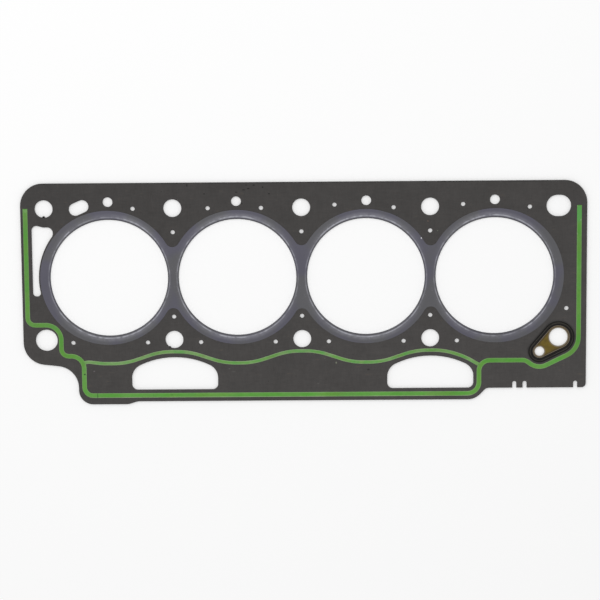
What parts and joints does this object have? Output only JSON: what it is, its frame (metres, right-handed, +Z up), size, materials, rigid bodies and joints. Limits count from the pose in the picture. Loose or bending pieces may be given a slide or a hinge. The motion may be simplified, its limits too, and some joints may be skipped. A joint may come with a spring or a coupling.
{
  "type": "cylinder head gasket",
  "caption": "Flat composite cylinder head gasket for an inline engine, with a steel fire ring round the bores, printed sealing beads, coolant windows and an oil passage insert.",
  "frame": {"origin": "centre of the middle head bolt rectangle, on the plane that the gasket's underside lies on", "axes": "+X along the row of bores, towards the end with the oil passage insert; +Y across the sheet, away from the half moon windows; +Z up, from the block face to the head face"},
  "size_m": [0.3915, 0.1559, 0.0018],
  "materials": {
    "facing": "matte, soft fibre and graphite facing",
    "core": "bare sheet steel, sheared edge",
    "fire_ring": "satin, slightly blued",
    "bead": "satin silicone",
    "insert_plate": "satin, yellow brown passivated steel",
    "insert_seal": "satin moulded rubber"
  },
  "bodies": {
    "root": {"facing_upper": "facing", "facing_lower": "facing", "steel_core": "core", "fire_ring": "fire_ring", "bead_upper": "bead", "bead_lower": "bead", "insert_plate": "insert_plate", "insert_seal": "insert_seal"}
  },
  "joints": []
}
